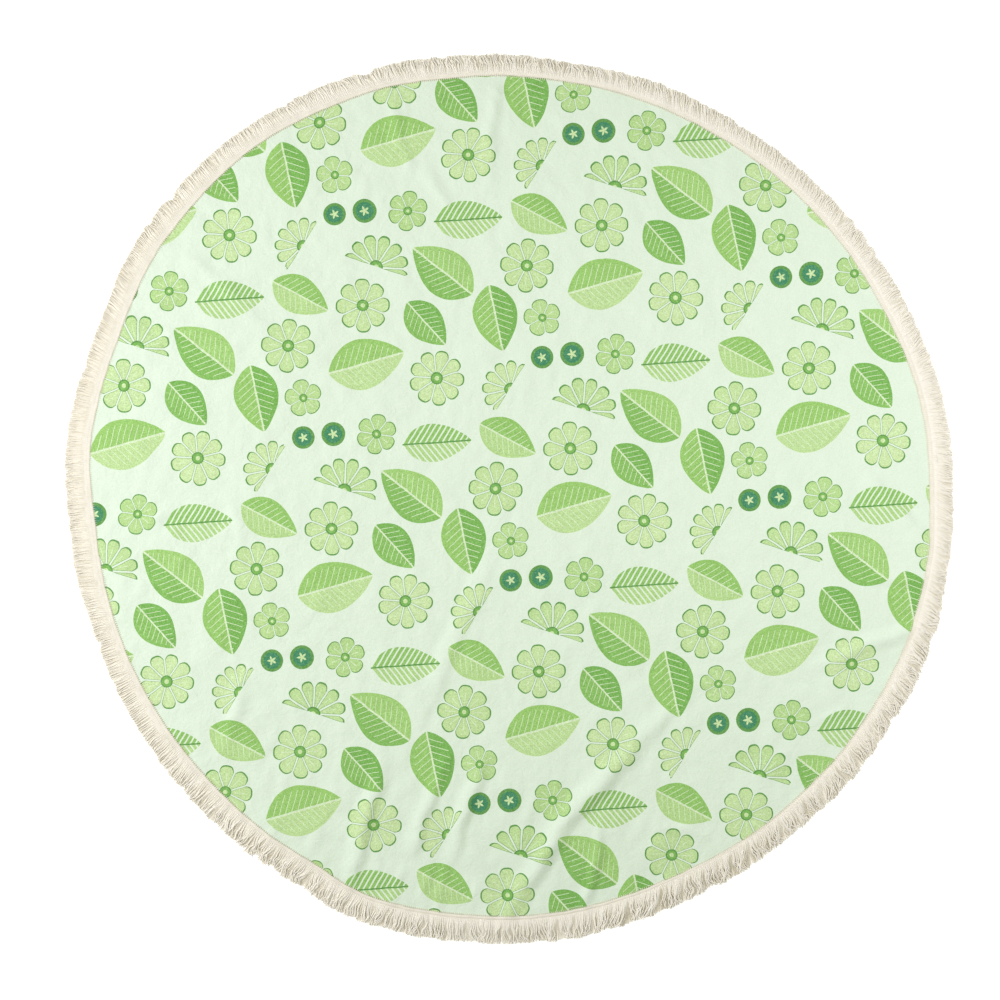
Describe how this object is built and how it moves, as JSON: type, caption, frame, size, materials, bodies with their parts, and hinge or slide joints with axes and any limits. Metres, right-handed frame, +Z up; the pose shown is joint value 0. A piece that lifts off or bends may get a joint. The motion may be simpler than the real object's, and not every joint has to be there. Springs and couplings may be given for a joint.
{
  "type": "round beach towel",
  "caption": "Round beach towel lying flat with soft creases; a woven heading tape on its hem carries a cut cream fringe all round.",
  "frame": {"origin": "middle of the box round the towel's outline, on the surface it lies on", "axes": "+Z up out of the printed side, +Y towards the top of the picture, +X to the right of the picture"},
  "size_m": [1.4982, 1.5028, 0.011],
  "materials": {
    "cloth": "printed microfibre towelling with a short matt nap, pale mint ground with mid-green motifs",
    "heading": "undyed cream cotton tape, fine plain weave, matt",
    "fringe": "undyed cream cotton yarn, cut ends, matt"
  },
  "bodies": {
    "root": {"towel_cloth": "cloth", "fringe_heading": "heading", "fringe_comb": "fringe"}
  },
  "joints": []
}
